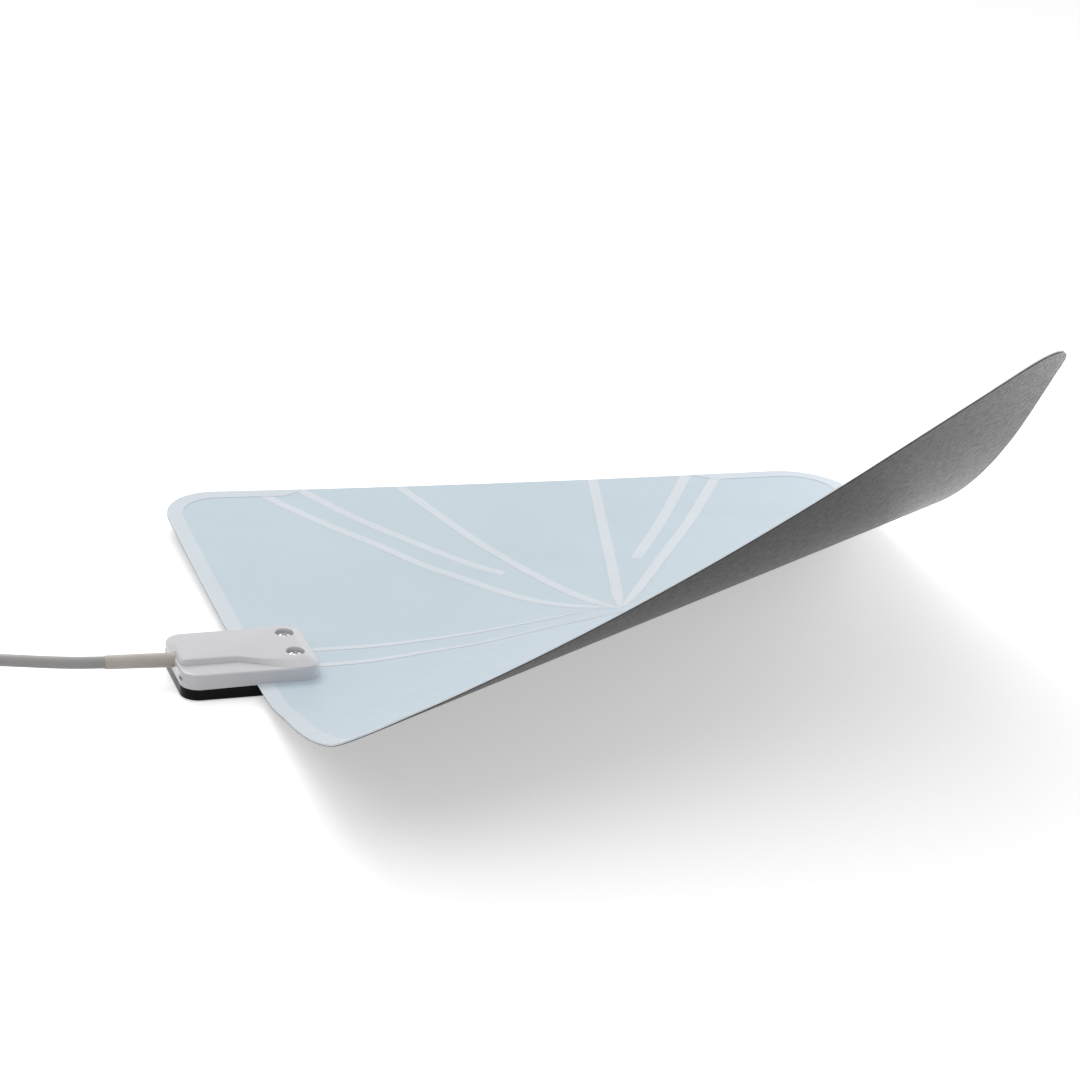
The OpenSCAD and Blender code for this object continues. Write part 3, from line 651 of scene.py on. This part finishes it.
def add_sheet():
    front = film("front_sheet", 0.0, HALF_FILM, MATERIALS["field"], MATERIALS["edge"])
    place(front, "front_film", "front_film", "foil_main", "foil_left", "foil_inner_left", "foil_centre",
          "foil_inner_right")
    back = film("back_sheet", -HALF_FILM, 0.0, MATERIALS["back"], MATERIALS["back_edge"])
    place(back, "back_film", "back_film")
    to_hub = (OUTER_BAND, INNER_BAND, RIGHT_OUTER_BAND, RIGHT_INNER_BAND)
    bands = [ribbon(MIDDLE_BAND, BAND_W), ribbon(RIGHT_MIDDLE_BAND, BAND_W)]
    bands += [ribbon(points, BAND_W, HUB_PINCH) for points in to_hub]
    bands += [ribbon(points, FEED_W, FEED_PINCH) for points in (FEED_UPPER, FEED_LOWER)]
    place(band_mesh("printed_bands", bands, MATERIALS["band"], BAND_HEIGHT), "bond_web", "bond_web")
    borders = [border_band(), border_band(mirrored_side=True)]
    place(band_mesh("printed_borders", borders, MATERIALS["border"], BORDER_HEIGHT), "bond_web")


# The housing

BOTTOM_H = 4.5
SHEET_TOP = SHEET_Z + HALF_FILM
LEDGE_Z = SHEET_TOP + 5.4
ROOF_Z = LEDGE_Z + 2.2
WALL = 1.7
NECK_HALF_W, NECK_END = 10.5, -5.0
FLARE_END = 19.8
END_INSET = 0.4
SCREW_X, SCREW_Y = 18.5, 8.6
RECESS_R, RECESS_DEPTH = 3.6, 2.5
POST_X, POST_Y = -6.5, 12.3
CLIP_Y, HOOK_Z = 13.0, LEDGE_Z - 3.9
CLIP_HALF_W, CLIP_T, HOOK_H, HOOK_GAP = 1.5, 1.3, 1.2, 0.15


def plan(length, width, radius, height, per_corner=12):
    """A rounded rectangle in plan at a height, counter-clockwise, in millimetres."""
    points = []
    for cx, cy, first in ((1, 1, 0), (-1, 1, 90), (-1, -1, 180), (1, -1, 270)):
        for turn in np.radians(np.linspace(first, first + 90, per_corner)):
            points.append((cx * (length / 2 - radius) + radius * math.cos(turn),
                           cy * (width / 2 - radius) + radius * math.sin(turn), height))
    return np.array(points)


def case_plan(drawn_in, height):
    """The housing's outline, drawn in all round."""
    return plan(CASE_L - 2 * drawn_in, CASE_W - 2 * drawn_in, CASE_R - drawn_in, height)


def plateau_foot():
    """The raised part's outline in plan: a neck over the lead that flares to the housing's width."""
    corner = 2.2
    neck = [(x, NECK_HALF_W) for x in np.linspace(-CASE_L / 2 + END_INSET + corner, NECK_END, 16)]
    flare = []
    for x in np.linspace(NECK_END + 0.8, FLARE_END, 26):
        share = (x - NECK_END) / (FLARE_END - NECK_END)
        flare.append((x, NECK_HALF_W + (CASE_W / 2 - NECK_HALF_W) * math.sin(share * math.pi / 2) ** 1.35))
    end = CASE_L / 2 - END_INSET
    radius = CASE_R - 1.0
    arc = [(end - radius + radius * math.sin(t), CASE_W / 2 - radius + radius * math.cos(t))
           for t in np.linspace(0, math.pi / 2, 14)]
    right = [(end, y) for y in np.linspace(CASE_W / 2 - radius - 1.5, 0.8, 8)]
    start = -CASE_L / 2 + END_INSET
    tip = [(start + corner - corner * math.sin(t), NECK_HALF_W - corner + corner * math.cos(t))
           for t in np.linspace(math.pi / 2, 0, 8)]
    left = [(start, y) for y in np.linspace(0.8, NECK_HALF_W - corner - 1.0, 6)]
    upper = np.array(left + tip + neck[1:] + flare + arc + right)
    lower = upper[::-1] * [1, -1]
    return np.vstack([upper, lower])[::-1]


def inset(outline, distance, end_slope):
    """An outline moved inwards, and further in at its right end where the flank is gentler."""
    along = np.roll(outline, -1, axis=0) - np.roll(outline, 1, axis=0)
    along /= np.linalg.norm(along, axis=1)[:, None]
    inward = np.column_stack([-along[:, 1], along[:, 0]])
    moved = outline + inward * distance
    moved[:, 0] -= end_slope * smooth_share((outline[:, 0] - 12.0) / 13.0)
    moved[:, 1] *= 1 - 0.17 * end_slope / 3 * smooth_share((outline[:, 0] + 2.0) / 22.0)
    return moved


def with_height(outline, z):
    return np.column_stack([outline, np.full(len(outline), z)])


def part_from(name, parts, material):
    vertices, faces = parts
    return mesh_object(name, np.asarray(vertices) * MM, faces, [material])


def disc(x, y, profile):
    vertices, faces = lathe(profile)
    return vertices + [x, y, 0], faces


def box_part(low, high):
    (x0, y0, z0), (x1, y1, z1) = low, high
    outline = np.array([(x0, y0), (x1, y0), (x1, y1), (x0, y1)], float)
    return loft([with_height(outline, z0), with_height(outline, z1)])


def along_exit(parts):
    """Parts lathed about Z, laid along the lead where it leaves: local Z runs from inside to outside."""
    vertices, faces = parts
    turn = Matrix.Rotation(-EXIT_YAW, 4, "Z") @ Matrix.Rotation(math.radians(-90), 4, "Y")
    placed = [turn @ Vector(v) + Vector((-CASE_L / 2, 0, CABLE_Z)) for v in vertices]
    return np.array([tuple(v) for v in placed]), faces


def add_top_cover():
    white = MATERIALS["white"]
    skirt_bottom = plan(CASE_L, CASE_W, CASE_R, 0)
    skirt_bottom[:, 2] = np.where(skirt_bottom[:, 0] > SETBACK - 0.2, SHEET_TOP, BOTTOM_H)
    layers = [skirt_bottom]
    for drawn_in, down in ((0.0, 0.9), (0.07, 0.55), (0.26, 0.26), (0.55, 0.07), (0.9, 0.0)):
        layers.append(case_plan(drawn_in, LEDGE_Z - down))
    cover = part_from("top_shell", loft(layers), white)
    foot = plateau_foot()
    height = ROOF_Z - LEDGE_Z
    stack = [with_height(inset(foot, 0.25, 0.0), LEDGE_Z - 1.2)]
    for drawn_in, up, slope in ((0.25, 0.02, 0.0), (0.42, 0.2, 0.5), (1.1, 0.78, 2.6), (1.3, 0.9, 3.0),
                                (1.55, 0.97, 3.4), (1.95, 1.0, 3.8)):
        stack.append(with_height(inset(foot, drawn_in, slope), LEDGE_Z + height * up))
    cut(cover, part_from("plateau", loft(stack), white), operation="UNION")
    hollow = loft([case_plan(WALL, z) for z in (BOTTOM_H - 1, LEDGE_Z - 1.5)])
    cutters = [part_from("hollow", hollow, white)]
    for side in (-1, 1):
        recess = ((RECESS_R, ROOF_Z - RECESS_DEPTH), (RECESS_R, ROOF_Z - 0.2),
                  (RECESS_R + 0.22, ROOF_Z + 0.02), (RECESS_R + 0.22, ROOF_Z + 1))
        cutters.append(part_from("recess", disc(SCREW_X, side * SCREW_Y, recess), white))
        hole = ((1.5, BOTTOM_H), (1.5, ROOF_Z))
        cutters.append(part_from("hole", disc(SCREW_X, side * SCREW_Y, hole), white))
        clip = box_part((-CASE_L / 2 - 1, side * CLIP_Y - CLIP_HALF_W - HOOK_GAP, HOOK_Z - HOOK_GAP),
                        (-CASE_L / 2 + WALL + 0.4, side * CLIP_Y + CLIP_HALF_W + HOOK_GAP,
                         HOOK_Z + HOOK_H + HOOK_GAP))
        cutters.append(part_from("clip", clip, white))
    cutters.append(part_from("lead_hole", along_exit(lathe(((3.0, -WALL - 2), (3.0, 4)))), white))
    cut(cover, *cutters)
    shade(cover, 28)
    place(cover, "white_shell", "top_cover")


def add_bottom_cover():
    black = MATERIALS["black"]
    layers = []
    for drawn_in, z in ((0.7, 0.0), (0.35, 0.09), (0.1, 0.32), (0.0, 0.7), (0.0, BOTTOM_H - 0.15),
                        (0.12, BOTTOM_H)):
        layers.append(case_plan(drawn_in, z))
    cover = part_from("bottom_shell", loft(layers), black)
    hollow = loft([case_plan(WALL, z) for z in (1.4, BOTTOM_H + 1)])
    cut(cover, part_from("hollow", hollow, black))
    for side in (-1, 1):
        boss = part_from("boss", disc(SCREW_X, side * SCREW_Y, ((2.8, 0.7), (2.8, BOTTOM_H))), black)
        post_profile = ((1.8, 0.7), (1.8, 7.3), (0.95, 7.3), (0.95, 8.6))
        post = part_from("post", disc(POST_X, side * POST_Y, post_profile), black)
        start = -CASE_L / 2 + WALL + 0.1
        near, far, top = side * CLIP_Y - CLIP_HALF_W, side * CLIP_Y + CLIP_HALF_W, HOOK_Z + HOOK_H
        arm = part_from("arm", box_part((start, near, 0.7), (start + CLIP_T, far, top)), black)
        hook = part_from("hook", box_part((start - 0.7, near, HOOK_Z), (start + 0.5, far, top)), black)
        cut(cover, boss, post, arm, hook, operation="UNION")
    shade(cover, 28)
    place(cover, "black_shell", "bottom_cover")


def add_screws():
    head_z = ROOF_Z - RECESS_DEPTH
    for name, side in (("screw_near", -1), ("screw_far", 1)):
        profile = ((1.3, 1.9), (1.3, head_z), (2.65, head_z), (2.8, head_z + 0.15), (2.8, head_z + 0.7),
                   (2.6, head_z + 1.1), (2.1, head_z + 1.35), (1.3, head_z + 1.48), (0.4, head_z + 1.5))
        screw = part_from(name, disc(SCREW_X, side * SCREW_Y, profile), MATERIALS["screw"])
        for turn in (25, 115):
            vertices, faces = box_part((-1.7, -0.36, head_z + 0.6), (1.7, 0.36, head_z + 2))
            spin = np.array(Matrix.Rotation(math.radians(turn), 3, "Z"))
            turned = vertices @ spin.T + [SCREW_X, side * SCREW_Y, 0]
            slot = part_from("slot", (turned, faces), MATERIALS["screw"])
            cut(screw, slot)
        shade(screw, 25)
        place(screw, "screw", *(["cover_screws"] if side < 0 else []))


def add_sleeve():
    inner, outer = CABLE_D / 2, CABLE_D / 2 + 0.5
    profile = ((inner, -3.7), (outer, -3.7), (outer, -1.0), (outer, 2.0), (outer - 0.08, RELIEF_L * 0.5),
               (outer - 0.15, RELIEF_L - 0.9), (outer - 0.22, RELIEF_L - 0.35),
               (outer - 0.38, RELIEF_L - 0.05), (inner, RELIEF_L))
    sleeve = part_from("lead_sleeve", along_exit(lathe(profile)), MATERIALS["sleeve"])
    shade(sleeve, 35)
    place(sleeve, "relief", "strain_relief")


# Floor, lights and background

FLOOR_GLOW = 0.46
WORLD_LIGHT = 0.42


def seen_directly(tree):
    """1 for rays that show the background: from the camera, in a reflection or through something clear."""
    light_path = tree.nodes.new("ShaderNodeLightPath")
    either = light_path.outputs["Is Camera Ray"]
    for name in ("Is Glossy Ray", "Is Transmission Ray"):
        higher = tree.nodes.new("ShaderNodeMath")
        higher.operation = "MAXIMUM"
        tree.links.new(either, higher.inputs[0])
        tree.links.new(light_path.outputs[name], higher.inputs[1])
        either = higher.outputs["Value"]
    return either


def add_floor():
    size = 6.0
    floor = mesh_object("floor", [(-size, -size, -0.0002), (size, -size, -0.0002), (size, size, -0.0002),
                                  (-size, size, -0.0002)], [(0, 1, 2, 3)], [])
    material = bpy.data.materials.new("studio_floor")
    material.use_nodes = True
    tree = material.node_tree
    shader = tree.nodes["Principled BSDF"]
    shader.inputs["Roughness"].default_value = 0.9
    shader.inputs["Specular IOR Level"].default_value = 0.1
    shader.inputs["Base Color"].default_value = (0.86, 0.86, 0.87, 1.0)
    strength = tree.nodes.new("ShaderNodeMath")
    strength.operation = "MULTIPLY"
    strength.inputs[1].default_value = FLOOR_GLOW
    tree.links.new(seen_directly(tree), strength.inputs[0])
    glow = tree.nodes.new("ShaderNodeEmission")
    tree.links.new(strength.outputs["Value"], glow.inputs["Strength"])
    both = tree.nodes.new("ShaderNodeAddShader")
    tree.links.new(shader.outputs["BSDF"], both.inputs[0])
    tree.links.new(glow.outputs["Emission"], both.inputs[1])
    tree.links.new(both.outputs["Shader"], tree.nodes["Material Output"].inputs["Surface"])
    floor.data.materials.append(material)


def add_world():
    world = bpy.data.worlds.new("studio")
    world.use_nodes = True
    tree = world.node_tree
    background = tree.nodes["Background"]
    background.inputs["Color"].default_value = (1.0, 1.0, 1.0, 1.0)
    strength = tree.nodes.new("ShaderNodeMapRange")
    strength.inputs["To Min"].default_value = WORLD_LIGHT
    strength.inputs["To Max"].default_value = 1.0
    tree.links.new(seen_directly(tree), strength.inputs["Value"])
    tree.links.new(strength.outputs["Result"], background.inputs["Strength"])
    bpy.context.scene.world = world


def add_lamp(name, place_at, aim, size, power):
    data = bpy.data.lights.new(name, "AREA")
    data.shape = "SQUARE"
    data.size = size
    data.energy = power
    lamp = bpy.data.objects.new(name, data)
    lamp.location = place_at
    lamp.rotation_euler = (Vector(place_at) - Vector(aim)).to_track_quat("Z", "Y").to_euler()
    bpy.context.scene.collection.objects.link(lamp)


bpy.context.scene.view_settings.view_transform = "Standard"
add_camera()
add_lead()
add_sheet()
add_top_cover()
add_bottom_cover()
add_screws()
add_sleeve()
dress_cad_nodes()
add_floor()
add_world()
add_lamp("overhead", (-0.3, 0.0, 1.3), (0.1, 0.0, 0.0), 2.0, 9.0)
add_lamp("behind", (-0.1, 0.75, 0.8), (0.05, 0.0, 0.0), 0.45, 3.4)
add_lamp("right_card", (0.5, 0.11, 0.03), (0.28, -0.1, 0.14), 0.2, 1.3)
